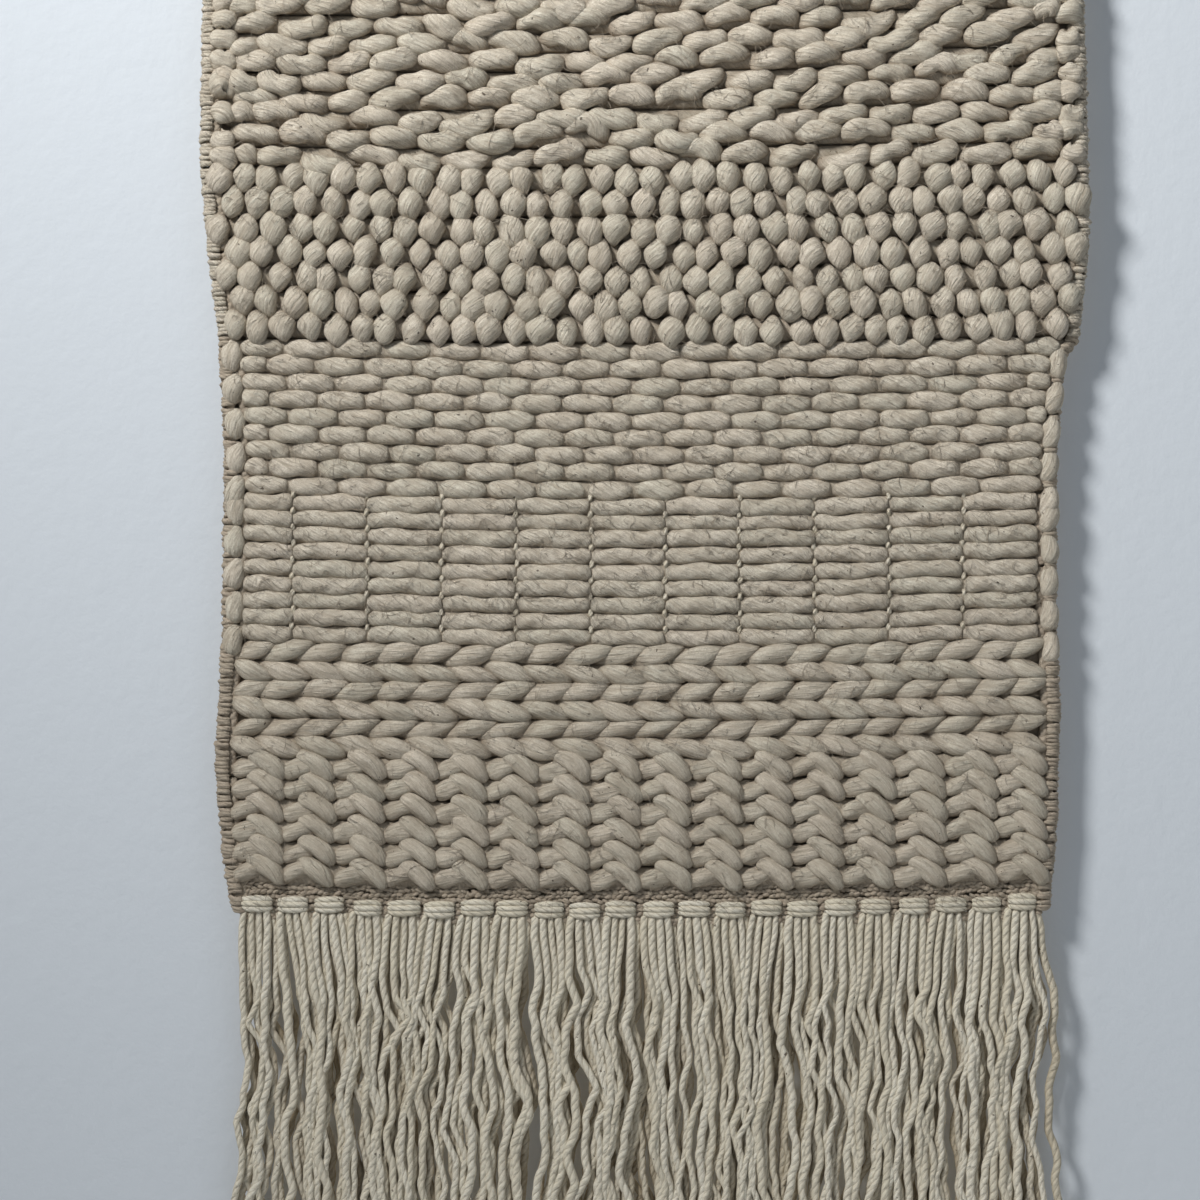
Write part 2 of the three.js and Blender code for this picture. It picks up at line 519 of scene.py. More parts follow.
def hang(x, z):
    # a row's real height at x, where z is its height at the left edge
    share = np.clip(x / halfWidth, -1.1, 1.1)
    depth = -np.array(droop["height"])
    middle = np.interp(-z, depth, droop["middle"])
    right = np.interp(-z, depth, droop["right"])
    lift = (share + 1) * 0.5 * np.clip(share + 0.4, 0, 1)
    return z - middle * (1 - share**2) + right * lift


def wander(x, z, seed):
    # slow change over the cloth, from -1 to 1
    return np.sin(x * 0.031 + z * 0.052 + seed) * 0.6 + np.sin(x * 0.013 - z * 0.034 + seed * 2.1) * 0.4


def rowHeights(node, pitch):
    # the middle heights of the rows that one CAD pass stands for
    low, high = nodeBox(node)
    rows = max(1, round((high.z - low.z) / pitch))
    return [(high.z + low.z) / 2 + pitch * ((rows - 1) / 2 - i) for i in range(rows)]


def arcs(start, end, along, front, dive, bend=0.0, ends=0.5):
    # curved paths between points (x, z), nearest the room at front (y) and dive deeper at their ends
    t = steps(along, ends)[None, :]
    start, end = np.asarray(start, float), np.asarray(end, float)
    run = end - start
    side = unit(np.stack((-run[:, 1], run[:, 0]), axis=1))
    bow = np.reshape(bend, (-1, 1)) * 4 * t * (1 - t)
    x = start[:, :1] + run[:, :1] * t + side[:, :1] * bow
    z = start[:, 1:] + run[:, 1:] * t + side[:, 1:] * bow
    y = np.reshape(front, (-1, 1)) + np.reshape(dive, (-1, 1)) * np.abs(2 * t - 1) ** 2.2
    return np.stack((x, np.broadcast_to(y, x.shape), z), axis=2)


cores = {"along": 48, "thick": 3.4, "power": 40, "yarn": {"lumps": 0.04, "slant": 1.2, "paintedShade": (-9, 3)}}


def layCores(name, heights, inset, body, centre=-0.3, wide=5.6):
    # the roving where it runs behind its own stitches, one straight roll to a row
    along = cores["along"]
    paths = []
    for z in heights:
        x = np.linspace(*span(z, (inset, inset)), along + 1)
        paths.append(np.stack((x, np.full(along + 1, centre), hang(x, z)), axis=1))
    size = roundEnds(steps(along, 0), cores["power"])[None, :]
    piece = layRolls(name, makeRoll(10, along), np.array(paths), size * cores["thick"], size * wide, "roving",
                     **cores["yarn"])
    settle(piece, body, "wool_roving")


# band of loops

loops = {
    "pitch": 11.4, "length": 28.3, "turn": 9.5, "jitter": 2.4, "inset": (9, 5.5), "high": 7.1, "thick": 7.2,
    "lean": 0.24, "leanMost": (-0.34, 0.5), "front": (-6.2, -4.0), "dive": (4.0, 6.0), "bend": 2.8,
    "power": (2.2, 3.1), "taper": 0.14, "waist": 0.26, "waistLength": 0.13,
    "yarn": {"lumps": 0.075, "creases": 0.13, "turns": 0.4, "slant": 0.9, "paintedShade": (-9.5, -1.5)},
}


def loopBreaks(left, right, half):
    # where one row's loops meet, with a short turn at each edge
    length, turn = loops["length"], loops["turn"]
    first = left + turn + (length / 2 if half else 0)
    inner = np.arange(first, right - turn - length * 0.3, length)
    inner = inner + between(-loops["jitter"], loops["jitter"], len(inner))
    return np.array([left, *([left + turn] if half else []), *inner, right - turn, right])


def loopEnds(heights):
    # the two ends of each loop in a pass, which lean more towards the right
    start, end = [], []
    for k, z in enumerate(heights):
        breaks = loopBreaks(*span(z, loops["inset"]), k % 2)
        for a, b in zip(breaks[:-1], breaks[1:]):
            middle = (a + b) / 2
            tilt = 0.16 * wander(middle, z, 1.0) + scatter(0.03, 0.12)
            tilt = tilt + loops["lean"] * max(middle, 0) / halfWidth
            rise = np.clip(tilt, *loops["leanMost"]) * (b - a) / 2
            height = hang(middle, z) + between(-1.3, 1.3)
            start.append((a + 0.2, height - rise))
            end.append((b - 0.2, height + rise))
    return start, end


def makeLoops():
    roll = makeRoll(18, 18)
    t = steps(18)[None, :]
    for i, node in enumerate(nodesOf("loop_pass_")):
        heights = rowHeights(node, loops["pitch"])
        start, end = loopEnds(heights)
        count = len(start)
        each = (count, 1)
        front = between(*loops["front"], count)
        dive = between(*loops["dive"], count)
        paths = arcs(start, end, 18, front, dive, scatter(0, loops["bend"], count))
        taper = 1 + between(-loops["taper"], loops["taper"], each) * (2 * t - 1)
        pinch = between(0, loops["waist"], each)
        place = between(0.3, 0.7, each)
        waist = pinch * np.exp(-(((t - place) / loops["waistLength"]) ** 2))
        size = roundEnds(t, between(*loops["power"], each)) * (taper - waist)
        size = size * between(0.92, 1.08, each)
        piece = layStitches(f"loopPass{i + 1}", roll, paths, size, loops)
        settle(piece, "loop_band", "wool_roving", node)
        layCores(f"loopCore{i + 1}", heights, 8, "loop_band")
    print("loops laid")


# band of bobbles

bobbles = {
    "pitch": 14.8, "spacing": 15.6, "tall": 10.8, "high": 8.5, "thick": 7.6, "inset": (9.5, 8),
    "front": (-6.2, -4.6), "dive": (2.0, 3.5), "tuck": 2.2, "power": (1.3, 1.7), "size": (0.87, 1.08),
    "yarn": {"lumps": 0.055, "creases": 0.1, "turns": 0.35, "slant": 1.4, "paintedShade": (-9.5, -1.5)},
}


def bobbleEnds(heights):
    # the top and bottom of each upright bobble in a pass, every other row half a space along
    start, end = [], []
    for k, z in enumerate(heights):
        left, right = span(z, bobbles["inset"])
        left += bobbles["spacing"] / 2 * (k % 2)
        right -= bobbles["spacing"] / 2 * (1 - k % 2)
        for x in np.linspace(left, right, round((right - left) / bobbles["spacing"]) + 1):
            lean = 1.6 * wander(x, z, 4.0) + scatter(0, 1.3)
            height = hang(x, z) + between(-1.4, 1.4)
            x = x + between(-1.6, 1.6)
            tall = bobbles["tall"] * between(0.92, 1.05)
            start.append((x - lean, height + tall))
            end.append((x + lean, height - tall))
    return start, end


def makeBobbles():
    roll = makeRoll(18, 16)
    t = steps(16)[None, :]
    for i, node in enumerate(nodesOf("bobble_pass_")):
        heights = rowHeights(node, bobbles["pitch"])
        start, end = bobbleEnds(heights)
        count = len(start)
        paths = arcs(start, end, 16, between(*bobbles["front"], count),
                     between(*bobbles["dive"], count), scatter(0, 0.8, count))
        paths[..., 1] += bobbles["tuck"] * (1 - 2 * t)  # tops tucked in, bottoms over the row below
        power = between(*bobbles["power"], (count, 1))
        size = roundEnds(t, power) * between(*bobbles["size"], (count, 1))
        piece = layStitches(f"bobblePass{i + 1}", roll, paths, size, bobbles)
        settle(piece, "bobble_band", "wool_roving", node)
        layCores(f"bobbleCore{i + 1}", heights, 6, "bobble_band", wide=7.2)
    print("bobbles laid")


# bands of bricks and bars, with their edge turns and the thin yarn that pins them

bricks = {
    "pitch": 10.3, "length": 29.7, "high": 6.1, "thick": 5.8, "front": -2.6, "inset": (12.6, 9), "power": 3.1,
    "wave": 0.25, "pinTall": 4.2, "pin": (1.0, -2.6), "pinLift": 0,
}
bars = {
    "pitch": 9.9, "length": 44.8, "firstBreak": -208.8, "breaks": 11, "high": 5.5, "thick": 5.5,
    "front": -2.8, "inset": (12.6, 10), "power": 5.6, "wave": 0.8, "pinTall": 2.3, "pin": (1.5, -4.3),
    "pinLift": 4.95,
}
straight = {
    "gap": 0.1, "turnLength": 42,
    "yarn": {"lumps": 0.04, "creases": 0.11, "slant": 1.0, "paintedShade": (-6.8, 0.5)},
}
turns = {
    "in": (7.9, 5.2), "drop": (0.5, 1.0), "tall": 9.7, "wide": (6.6, 6.0), "thick": 6.2,
    "yarn": {"lumps": 0.05, "creases": 0.1, "turns": 0.4, "slant": 0.6, "paintedShade": (-5, 0.5)},
}


def layPins(name, spots, look, body):
    # short stretches of warp that show between two stitches
    count = len(spots)
    half = np.array((0, look["pinTall"]))
    radius, front = look["pin"]
    paths = arcs(spots + half, spots - half, 8, np.full(count, front), 1.2, scatter(0, 0.2, count))
    size = roundEnds(steps(8), 2.5)[None, :] * radius
    piece = layRolls(name, makeRoll(7, 8), paths, size, size, "fringeYarn", lumps=0.14, turns=0.8, slant=1.0,
                     paintedShade=(-8.5, 3))
    settle(piece, body, "fringe_yarn")


def layTurns(name, top, pitch, body):
    # the two fat ends where a pass turns round at each edge and comes back
    roll = makeRoll(16, 16)
    size = roundEnds(steps(16), 2.2)[None, :]
    for k, (side, sign) in enumerate((("left", 1), ("right", -1))):
        z = top - pitch * turns["drop"][k]
        x = edge(side, z) + sign * turns["in"][k]
        height = hang(x, z)
        tall = turns["tall"] * between(0.93, 1.05)
        lean = scatter(0.6, 1.0)
        start, end = (x + sign + lean, height + tall), (x + sign - lean, height - tall)
        paths = arcs([start], [end], 16, [-2.4], 2.0, [-1.8 * sign])
        look = {**turns, "high": turns["wide"][k]}
        piece = layStitches(f"{name}{side.title()}Turn", roll, paths, size, look)
        settle(piece, body, "wool_roving")


def rowEnds(breaks, heights):
    # the two ends of each straight stitch, one list of breaks to a row
    start, end = [], []
    for row, z in zip(breaks, heights):
        level = between(-0.4, 0.4)
        for a, b in zip(row[:-1], row[1:]):
            wobble = between(-0.35, 0.35, 2) + level
            start.append((a + straight["gap"], hang(a, z) + wobble[0]))
            end.append((b - straight["gap"], hang(b, z) + wobble[1]))
    return start, end


def layRow(name, breaks, heights, look, node, body, roll):
    # straight stitches between breaks, with what holds and ends them
    start, end = rowEnds(breaks, heights)
    count = len(start)
    each = (count, 1)
    along = roll["along"]
    t = steps(along, 0.75)[None, :]
    paths = arcs(start, end, along, look["front"] + between(-0.5, 0.5, count), 1.0,
                 scatter(0, 0.4, count), 0.75)
    beat = between(0, 2 * math.pi, (2, *each))
    paths[..., 2] += look["wave"] * (np.sin(7 * t + beat[0]) * 0.6 + np.sin(13 * t + beat[1]) * 0.4)
    size = roundEnds(t, look["power"] * between(0.85, 1.15, each)) * between(0.92, 1.07, each)
    yarn = {**straight["yarn"], "turns": look["length"] / straight["turnLength"]}
    piece = layStitches(name, roll, paths, size, {**look, "yarn": yarn})
    settle(piece, body, "wool_roving", node)
    pins = [(x, hang(x, z) + look["pinLift"]) for row, z in zip(breaks, heights) for x in row[1:-1]]
    layPins(name + "Pins", np.array(pins), look, body)
    layCores(name + "Core", heights, 8, body, -1.0, 5.4)
    layTurns(name, heights[0], look["pitch"], body)


def makeBricks():
    roll = makeRoll(16, 22)
    length = bricks["length"]
    for i, node in enumerate(nodesOf("brick_pass_")):
        heights = rowHeights(node, bricks["pitch"])
        breaks = []
        for k, z in enumerate(heights):
            left, right = span(z, bricks["inset"])
            inner = np.arange(left + length * (0.5 if k % 2 else 0.9), right - length * 0.35, length)
            breaks.append(np.array([left, *(inner + between(-0.9, 0.9, len(inner))), right]))
        layRow(f"brickPass{i + 1}", breaks, heights, bricks, node, "brick_band", roll)
    print("bricks laid")


def makeBars():
    roll = makeRoll(16, 28)
    columns = bars["firstBreak"] + bars["length"] * np.arange(bars["breaks"])
    for i, node in enumerate(nodesOf("bar_pass_")):
        heights = rowHeights(node, bars["pitch"])
        breaks = []
        for z in heights:
            left = edge("left", z) + bars["inset"][0]
            breaks.append(np.array([left, *(columns + between(-0.5, 0.5, len(columns)))]))
        layRow(f"barPass{i + 1}", breaks, heights, bars, node, "bar_band", roll)
    print("bars laid")


# twined rows

twined = {
    "pitch": 11.5, "spacing": 22.5, "reach": 35, "rise": 4.4, "inset": (6.5, 6), "high": 6.4, "thick": 6.2,
    "front": -3.2, "under": 3.2, "power": (1.55, 1.9),
    "yarn": {"lumps": 0.045, "creases": 0.13, "turns": 0.3, "slant": 0.35, "paintedShade": (-7.5, 0.5)},
}


def twinedEnds(heights):
    # the two ends of each stroke in a pair of rows that slant opposite ways, and how fat it is
    start, end, fat = [], [], []
    for z, slope in zip(heights, (1, -1)):
        left, right = span(z, twined["inset"])
        rowFat = between(0.9, 1.08)
        for x in np.arange(left - 8, right - 16, twined["spacing"]):
            x = x + between(-1.8, 1.8)
            a, b = max(x, left), min(x + twined["reach"], right)
            rise = slope * twined["rise"] * between(0.8, 1.2)
            start.append((a, hang(a, z) - rise))
            end.append((b, hang(b, z) + rise))
            fat.append(rowFat * between(0.95, 1.05))
    return start, end, np.array(fat)[:, None]


def makeTwined():
    roll = makeRoll(16, 24)
    t = steps(24)[None, :]
    for i, node in enumerate(nodesOf("twined_pair_")):
        heights = rowHeights(node, twined["pitch"])
        start, end, fat = twinedEnds(heights)
        count = len(start)
        paths = arcs(start, end, 24, twined["front"] + between(-0.5, 0.5, count), 1.5, scatter(0, 0.6, count))
        paths[..., 1] += twined["under"] * (1 - t) ** 2  # each stroke starts under the one before it
        size = roundEnds(t, between(*twined["power"], (count, 1))) * fat
        piece = layStitches(f"twinedPair{i + 1}", roll, paths, size, twined)
        settle(piece, "herringbone_band", "wool_roving", node)
        layCores(f"twinedCore{i + 1}", heights, 8, "herringbone_band")
    print("twined rows laid")


# herringbone rows

herringbone = {
    "pitch": 12.8, "column": 30.6, "columns": 16, "high": 6.2, "thick": 5.6,
    "yarn": {"lumps": 0.05, "creases": 0.16, "turns": 0.25, "slant": 0.25, "paintedShade": (-8, 0.5)},
}
legs = (  # the two legs of a knot: their ends from its left side, how far forward, how bent and how blunt
    {"start": (-0.3, -3.6), "end": (19.0, 3.2), "front": -2.9, "bend": 0.6, "power": 3.4},
    {"start": (8.4, 8.0), "end": (29.7, -7.6), "front": -4.9, "bend": 2.8, "power": 2.7},
)


def makeHerringbone():
    roll = makeRoll(16, 24)
    t = steps(24)[None, :]
    first = -herringbone["column"] * herringbone["columns"] / 2
    for i, node in enumerate(nodesOf("herringbone_row_")):
        z = rowHeights(node, herringbone["pitch"])[0]
        start, end = [], []
        for k in range(herringbone["columns"]):
            x = first + herringbone["column"] * k + between(-0.7, 0.7)
            height = hang(x + 15, z) + between(-0.6, 0.6)
            for leg in legs:
                start.append((x + leg["start"][0], height + leg["start"][1]))
                end.append((x + leg["end"][0], height + leg["end"][1]))
        count = len(start)
        front, bend, power = (np.array([leg[key] for leg in legs] * herringbone["columns"])
                              for key in ("front", "bend", "power"))
        paths = arcs(start, end, 24, front + between(-0.4, 0.4, count), 2.0, bend + scatter(0, 0.7, count))
        size = roundEnds(t, power[:, None]) * between(0.94, 1.06, (count, 1))
        piece = layStitches(f"herringboneRow{i + 1}", roll, paths, size, herringbone)
        settle(piece, "herringbone_band", "wool_roving", node)
        layCores(f"herringboneCore{i + 1}", [z], 8, "herringbone_band", -1.0, 6.4)
    print("herringbone laid")


# thin yarn: the strip above the fringe, the side edges and the header

strip = {"top": -622, "bottom": -646, "pitch": 2.6, "spacing": 3.4, "inset": (6, 6), "reach": 2.3,
         "yarn": (1.6, 1.55)}
selvedge = {
    "pitch": 2.0, "yarn": 1.45, "arc": (-50, 215), "gap": 0.6, "core": 3.3,
    "inner": {"loop": (9.5, 7.5), "bobble": (9.5, 8.5), "brick": (12.5, 9.8), "bar": (12.5, 9.8),
              "herringbone": (9.5, 9)},
    "front": {"loop": -1.4, "bobble": -1.4, "brick": 0.4, "bar": 0.4, "herringbone": 0.4},
    "round": {"loop": 4.3, "bobble": 4.3, "brick": 4.4, "bar": 4.4, "herringbone": 4.7},
}
header = {"plies": 3, "step": 2.9, "wide": 19.4, "yarn": 1.95, "lift": 1.6, "front": -5.4}


def makeStrip():
    roll = makeRoll(7, 6)
    start, end = [], []
    for row, z in enumerate(np.arange(strip["top"], strip["bottom"], -strip["pitch"])):
        left, right = span(z, strip["inset"])
        slope = 0.9 if row % 2 else -0.9
        for x in np.arange(left + strip["spacing"] / 2 * (row % 2), right, strip["spacing"]):
            height = hang(x, z) + between(-0.5, 0.5)
            tilt = slope * between(0.3, 1.3)
            start.append((x - strip["reach"], height - tilt))
            end.append((x + strip["reach"], height + tilt))
    count = len(start)
    paths = arcs(start, end, 6, between(-2.0, -0.4, count), 1.0, scatter(0, 0.4, count))
    size = roundEnds(steps(6), 2.2)[None, :] * between(0.8, 1.15, (count, 1))
    thick, wide = strip["yarn"]
    piece = layRolls("groundStrip", roll, paths, size * thick, size * wide, "groundYarn", slant=1.0,
                     paintedShade=(-2, 3))
    settle(piece, "herringbone_band", "ground_yarn")


def layRibs(name, label, side, top, bottom):
    # ribs of thin yarn wound round the outermost warps
    roll = makeRoll(6, 12)
    sign = 1 if side == "left" else -1
    heights = np.arange(top, bottom, -selvedge["pitch"])
    heights = heights + between(-0.4, 0.4, len(heights))
    each = (len(heights), 1)
    turn = np.radians(np.linspace(*selvedge["arc"], 13))[None, :]
    size = selvedge["round"][label] * between(0.86, 1.08, each)
    middle = (edge(side, heights) + sign * (selvedge["round"][label] + selvedge["gap"]))[:, None]
    middle = middle + between(-0.4, 0.4, each)
    x = middle - sign * size * np.sin(turn)
    y = selvedge["front"][label] - size * 1.05 * np.cos(turn)
    lean = between(-1.5, 1.5, each)
    z = hang(middle[:, 0], heights)[:, None] + lean * np.cos(turn)
    paths = np.stack((x, y, np.broadcast_to(z, x.shape)), axis=2)
    thin = roundEnds(steps(12, 0), 5)[None, :] * selvedge["yarn"] * between(0.85, 1.2, each)
    pale = label in ("loop", "bobble")  # the upper edges are wound with the paler wool
    finish, slot = ("roving", "wool_roving") if pale else ("groundYarn", "ground_yarn")
    piece = layRolls(name, roll, paths, thin, thin, finish, side="z", lumps=0.12, turns=1.2, slant=1.2,
                     flatBack=10)
    settle(piece, label + "_band", slot)


def layWarps(name, label, side, inset, top, bottom):
    # a bundle of warps down an edge, which the ribs or the ends of the passes go round
    along = 40
    z = np.linspace(top, bottom, along + 1)
    x = edge(side, z) + (inset if side == "left" else -inset)
    y = np.full(len(z), selvedge["front"][label] - 0.4)
    size = roundEnds(steps(along, 0), 30)[None, :] * selvedge["core"]
    paths = np.stack((x, y, hang(x, z)), axis=1)[None]
    piece = layRolls(name, makeRoll(10, along), paths, size, size, "groundYarn", lumps=0.1, creases=0.2,
                     turns=(top - bottom) / 9)
    settle(piece, label + "_band", "ground_yarn")


def headerEnds(node):
    # the two ends of each strand of the header's stitches, how far it bows and how far forward it lies
    low, high = nodeBox(node)
    start, end, bend, front = [], [], [], []
    for name in nodesOf("tassel_"):
        box = nodeBox(name)
        middle = (box[0].x + box[1].x) / 2 + between(-0.8, 0.8)
        height = hang(middle, (low.z + high.z) / 2 + header["lift"]) + between(-0.7, 0.7)
        half = header["wide"] / 2 * between(0.86, 1.04)
        for k in range(header["plies"]):
            level = (k - (header["plies"] - 1) / 2) * header["step"]
            lean = between(-0.4, 0.4, 2)
            start.append((middle - half, height + level * 0.8 + lean[0]))
            end.append((middle + half, height + level * 0.8 + lean[1]))
            bend.append(level * 0.28)
            front.append(header["front"] + abs(level) * 0.25)
    return start, end, bend, front


def makeHeader(node):
    start, end, bend, front = headerEnds(node)
    paths = arcs(start, end, 26, front, 2.2, bend)
    size = roundEnds(steps(26)[None, :], 3.4) * between(0.92, 1.1, (len(start), 1)) * header["yarn"]
    piece = layRolls("fringeHeader", makeRoll(10, 26), paths, size, size, "fringeYarn", lumps=0.04, turns=1.5,
                     slant=1.0, paintedShade=(-4.5, 0))
    settle(piece, "herringbone_band", "fringe_yarn", node)


# fringe

fringe = {
    "strands": 12,
    "along": 112,
    "yarn": 2.35,
    "twist": 16.5,  # mm to a turn
    "fray": 26,  # how much shorter than the longest a strand may be
    "loose": (14, 64),  # how far down a strand starts to hang loose, and where it quite does
    "layers": (0, 2, 1),  # which layer each strand hangs in, 0 in front and 2 nearest the wall
    "waves": ((120, 2.4, 0.75), (56, 1.6, 0.4), (29, 0.75, 0.1), (13, 0.3, 0)),  # length, size, how alike
    "crimps": ((48, 75), (95, 125), (150, 205)),  # how far down the kinks lie that weaving left
    "bend": (2, -12),  # from above the hinge to below it
}


def strandPaths(box, count, along):
    # yarns that hang from the header, straight at first and then loose
    low, high = box
    middle, width = (low.x + high.x) / 2, high.x - low.x
    each = (count, 1)
    t = steps(along, 0)[None, :]
    layer = np.resize(fringe["layers"], count)[:, None]
    slot = (np.arange(count)[:, None] + 0.5) / count - 0.5
    top = hang(middle, high.z + 3.5) + between(-0.6, 0.6, each)
    z = top - (top - low.z - between(0, fringe["fray"], each)) * t
    fall = top - z
    loose = np.interp(fall, fringe["loose"], (0, 1))
    x = middle + slot * width * (0.86 + 0.2 * np.clip(fall / 12, 0, 1))
    x = x + scatter(0, 3.8) * np.clip(fall / 55, 0, 1)
    x = x + scatter(0, 3.2, each) * np.clip(fall / 110, 0, 1)
    y = -2.6 + layer * (2.6 + 1.0 * loose) + between(-1.0, 1.0, each) * loose
    shared = between(0, 2 * math.pi, (len(fringe["waves"]), 2))
    for (wave, size, common), (beat, swing) in zip(fringe["waves"], shared):
        phase = beat * common + between(0, 2 * math.pi, each) * (1 - common)
        rate = 2 * math.pi * fall / (wave * between(0.92, 1.08, each))
        x = x + loose * size * np.sin(rate + phase) * between(0.5, 1.2, each)
        y = y + loose * size * 0.3 * np.cos(rate + phase + swing)
    for place in [between(*crimp) for crimp in fringe["crimps"]]:
        at = place + scatter(0, 5, each)
        reach = between(10, 20, each)
        size = scatter(0, 1.6, each) + scatter(0, 2.8)
        x = x + size * np.maximum(1 - np.abs(fall - at) / reach, 0)
    return np.stack((x, y, z), axis=2)


def makeFringe():
    along, count = fringe["along"], fringe["strands"]
    roll = makeRoll(8, along)
    ends = roundEnds(steps(along, 0)[None, :], 60)
    for node in nodesOf("tassel_"):
        box = nodeBox(node)
        paths = strandPaths(box, count, along)
        size = ends * fringe["yarn"] * between(0.76, 1.12, (count, 1))
        length = (paths[:, 0, 2] - paths[:, -1, 2]).mean()
        number = node.split("_")[1]
        piece = layRolls(f"tassel{number}", roll, paths, size, size, "fringeYarn", lumps=0.03,
                         turns=length / fringe["twist"], slant=1.1, paintedShade=(-4, 6), flatBack=10)
        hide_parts(node)
        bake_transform(piece)
        laidOn["herringbone_band"].append(piece)
    print("fringe hung")


# ground cloth and the sleeve round the rod

cloth = {"warp": 4.4, "weft": 4.4, "step": 4.4 / 3, "relief": 0.55, "uneven": 0.12, "thick": 1.5, "y": 3.4,
         "inset": (4, 4), "above": 10}
sleeve = {"gap": 1.5, "round": (-68, 255), "tail": 8, "behind": 1.1, "before": 1.3,
          "reach": 5}  # its tails hold the top of the cloth


def thicken(mesh):
    bm = bmesh.new()
    bm.from_mesh(mesh)
    bmesh.ops.recalc_face_normals(bm, faces=bm.faces)
    bmesh.ops.solidify(bm, geom=bm.faces[:], thickness=cloth["thick"] * mm)
    bmesh.ops.recalc_face_normals(bm, faces=bm.faces)
    bm.to_mesh(mesh)
    bm.free()
    smooth(mesh)


def weave(name, route, normals, leftEdge, rightEdge, turned=0.0):
    # a grid woven along a route of (y, z) points: warps run down it and wefts across
    heights = len(route)
    columns = round(2 * halfWidth / cloth["warp"])
    bm = bmesh.new()
    bm.loops.layers.uv.new("yarn")
    bmesh.ops.create_grid(bm, x_segments=columns, y_segments=heights - 1, size=0.5, calc_uvs=True)
    piece = startPiece(name, bm, finishes["groundYarn"])
    mesh = piece.data
    co = readLayer(mesh.vertices, "co", 3)
    column = np.rint((co[:, 0] + 0.5) * columns).astype(int)
    row = np.rint((co[:, 1] + 0.5) * (heights - 1)).astype(int)
    x = leftEdge[row] + (rightEdge[row] - leftEdge[row]) * column / columns
    run = turned + np.concatenate(([0], np.cumsum(np.linalg.norm(np.diff(route, axis=0), axis=1))))[row]
    over = np.where(column % 2 == 0, 1, -1) * np.cos(run / cloth["weft"] * math.pi)
    over = over * cloth["relief"] + cloth["uneven"] * np.sin(column * 7.3 + run * 2.1)
    place = route[row] + normals[row] * over[:, None]
    mesh.vertices.foreach_set("co", (np.stack((x, place[:, 0], place[:, 1]), axis=1) * mm).ravel())
    uv = readLayer(mesh.uv_layers["yarn"].data, "uv", 2)
    setUv(mesh, "yarn", uv[:, 0] * 2 * halfWidth / cm, uv[:, 1] * heights * cloth["step"] / cm)
    setAttribute(mesh, "tone", 0.5 + 0.5 * np.sin(row * 0.9 + column * 0.02))
    # painted shade where each yarn dips under its neighbour
    setAttribute(mesh, "paintedShade", np.clip(0.1 - over * 0.5, 0, 1))
    thicken(mesh)
    return piece


def makeGround():
    # one cloth from the middle of each band to the middle of the next, across the fold between
    boxes = [nodeBox(name + "_ground") for name in bands]
    cuts = [boxes[0][1].z + cloth["above"], *[(low.z + high.z) / 2 for low, high in boxes], boxes[-1][0].z]
    sheets = []
    for i, (top, bottom) in enumerate(zip(cuts[:-1], cuts[1:])):
        z = np.linspace(top, bottom, round((top - bottom) / cloth["step"]) + 1)
        route = np.stack((np.full(len(z), cloth["y"]), z), axis=1)
        normals = np.broadcast_to(np.array((1.0, 0.0)), route.shape)
        piece = weave(f"groundCloth{i + 1}", route, normals, *span(z, cloth["inset"]), cuts[0] - top)
        if i < len(bands):
            bendAbove(piece)
        else:
            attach(piece, "herringbone_band")
        if i:
            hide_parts(bands[i - 1] + "_ground")
        sheets.append((piece, top - bottom))
    print("ground cloth woven")
    return sheets


def makeSleeve():
    # up behind the cloth, round the rod and down in front of it
    radius = nodeBox("hanging_rod")[1].z + sleeve["gap"]
    bottom = nodeBox("loop_ground")[1].z + sleeve["tail"]
    turn = np.radians(np.arange(*sleeve["round"], math.degrees(cloth["step"] / radius)))
    ring = np.stack((np.cos(turn), np.sin(turn)), axis=1)
    back = np.arange(bottom, ring[0, 1] * radius, cloth["step"])
    count = len(back)
    behind = np.stack((np.full(count, cloth["y"] + sleeve["behind"]), back), axis=1)
    before = np.stack((np.full(count, cloth["y"] - sleeve["before"]), back[::-1]), axis=1)
    route = np.concatenate((behind, ring * radius, before))
    normals = np.concatenate((np.tile((1.0, 0.0), (count, 1)), ring, np.tile((-1.0, 0.0), (count, 1))))
    width = np.full(len(route), nodeBox("rod_sleeve")[1].x)
    piece = weave("sleeveCloth", route, normals, -width, width)
    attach(piece, "sleeve")
    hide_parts("rod_sleeve")
    print("sleeve woven")
    return piece, len(route) * cloth["step"]


rodEasing = 2.0  # how far the rod's rims are rounded


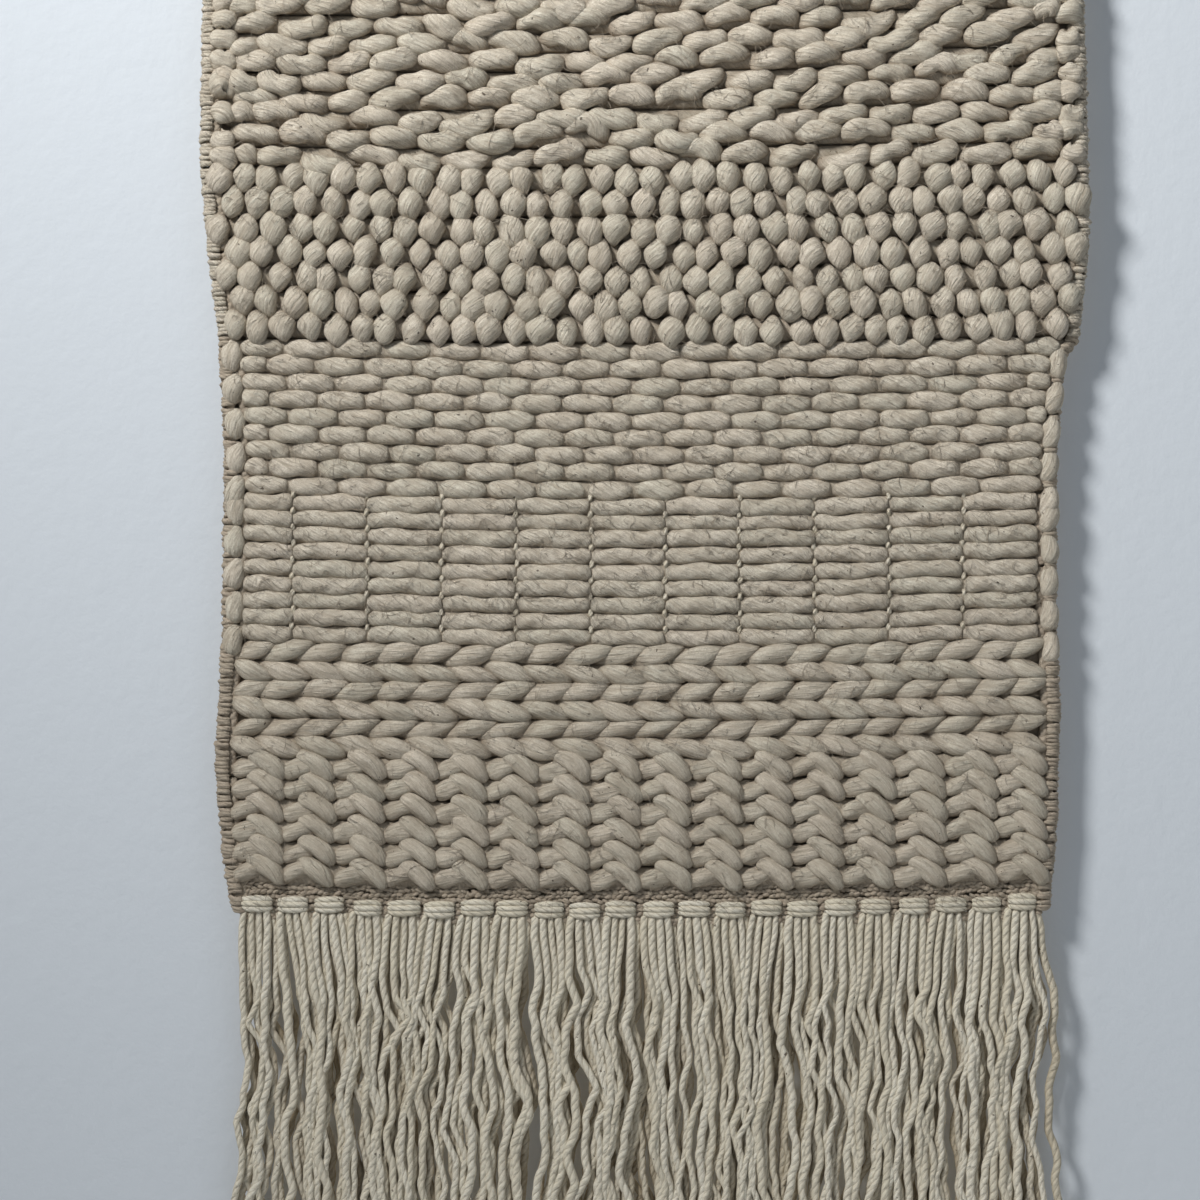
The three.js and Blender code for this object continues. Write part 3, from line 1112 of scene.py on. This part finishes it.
def makeRod():
    high = nodeBox("hanging_rod")[1]
    bm = bmesh.new()
    along = Matrix.Rotation(math.radians(90), 4, "Y")
    bmesh.ops.create_cone(bm, cap_ends=True, segments=64, radius1=high.z, radius2=high.z, depth=2 * high.x,
                          matrix=along)
    rims = [line for line in bm.edges if abs(line.verts[0].co.x - line.verts[1].co.x) < 1e-4]
    bmesh.ops.bevel(bm, geom=rims, offset=rodEasing, segments=4, profile=0.5, affect="EDGES", material=-1)
    bmesh.ops.scale(bm, vec=(mm, mm, mm), verts=bm.verts)
    piece = startPiece("rod", bm, finishes["rodWood"])
    settle(piece, "rod", "rod_wood", "hanging_rod")


# stray fibres

fuzz = {"perHalf": 500, "thick": 0.17, "length": (4, 14), "inset": (14, 14),
        "front": {"loop": -12.4, "bobble": -12.2, "brick": -8.6, "bar": -8.6, "herringbone": -9.6}}


def makeFuzz(name, label, top, bottom):
    count, front = fuzz["perHalf"], fuzz["front"][label]
    x = between(*span(top, fuzz["inset"]), count)
    z = between(bottom, top, count)
    heading = between(0, 2 * math.pi, count)
    reach = between(*fuzz["length"], count)
    start = np.stack((x, z), axis=1)
    end = start + np.stack((np.cos(heading), np.sin(heading)), axis=1) * reach[:, None]
    paths = arcs(start, end, 6, between(front - 1.2, front + 0.8, count), between(1, 4, count),
                 scatter(0, 2.2, count))
    size = roundEnds(steps(6, 0), 2)[None, :] * fuzz["thick"]
    piece = layRolls(name, makeRoll(3, 6), paths, size, size, "groundYarn", lumps=0)
    settle(piece, label + "_band", "wool_roving")


def makeEdges():
    # each band's edges and stray fibres are in two halves, and settle places each half on its own
    for label in bands:
        low, high = nodeBox(label + "_ground")
        middle = (low.z + high.z) / 2
        for half, top, bottom in (("Upper", high.z, middle), ("Lower", middle, low.z)):
            for side, inner in zip(("left", "right"), selvedge["inner"][label]):
                name = f"{label}{half}{side.title()}"
                layRibs(name + "Selvedge", label, side, top, bottom)
                outer = selvedge["round"][label] + selvedge["gap"]
                layWarps(name + "Warps", label, side, outer, top, bottom)
                layWarps(name + "InnerWarps", label, side, inner, top, bottom)
            makeFuzz(f"{label}{half}Fuzz", label, top - 4, bottom + 4)
    print("edges and stray fibres laid")


makeLoops()
makeBobbles()
makeBricks()
makeBars()
makeTwined()
makeHerringbone()
makeStrip()
makeHeader("fringe_header")
makeEdges()
makeFringe()
makeRod()
makeGround()
makeSleeve()
